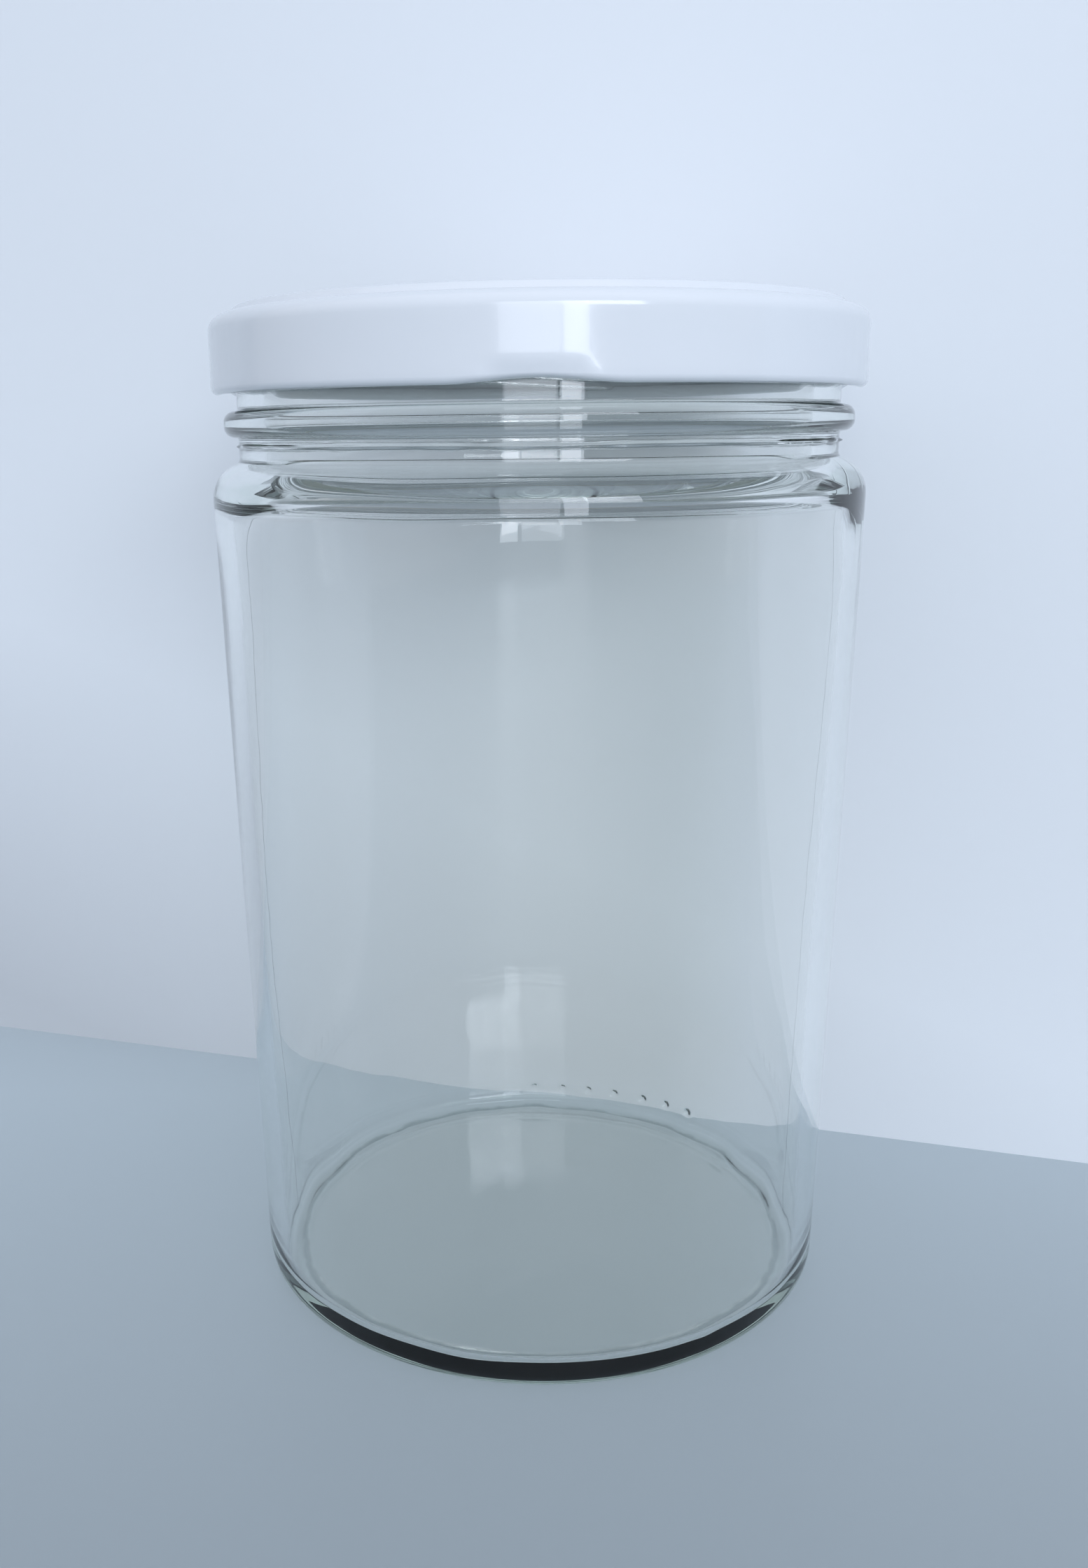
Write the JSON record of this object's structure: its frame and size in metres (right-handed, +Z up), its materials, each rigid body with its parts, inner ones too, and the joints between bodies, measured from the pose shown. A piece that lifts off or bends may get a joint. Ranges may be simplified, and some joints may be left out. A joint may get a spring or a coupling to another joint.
{
  "type": "candle jar",
  "caption": "Empty clear glass candle jar, straight with a rounded shoulder and a beaded neck, closed by a white twist-off metal cap.",
  "frame": {"origin": "centre of the jar's base, on the surface that it stands on", "axes": "+Z up along the jar's axis, -Y towards the front"},
  "size_m": [0.0866, 0.0866, 0.1347],
  "materials": {
    "clear_glass": "clear moulded glass with a slight green-grey tint",
    "white_lacquered_tinplate": "smooth glossy white lacquer",
    "sealing_compound": "soft satin off-white compound"
  },
  "bodies": {
    "jar": {"glass_jar": "clear_glass"},
    "cap_seal": {"lid_gasket": "sealing_compound"},
    "cap": {"lid_shell": "white_lacquered_tinplate"}
  },
  "joints": [
    {"name": "lid_rise", "type": "slide", "parent": "jar", "child": "cap_seal", "axis": [0, 0, 1], "range_m": [0, 0.02]},
    {"name": "lid_twist", "type": "hinge", "parent": "cap_seal", "child": "cap", "pos_m": [0, 0, 0.1294], "axis": [0, 0, 1], "range_deg": [0, 450]}
  ],
  "couplings": [
    {"joint": "lid_rise", "follows": "lid_twist", "m_per_rad": 0.0025465}
  ]
}
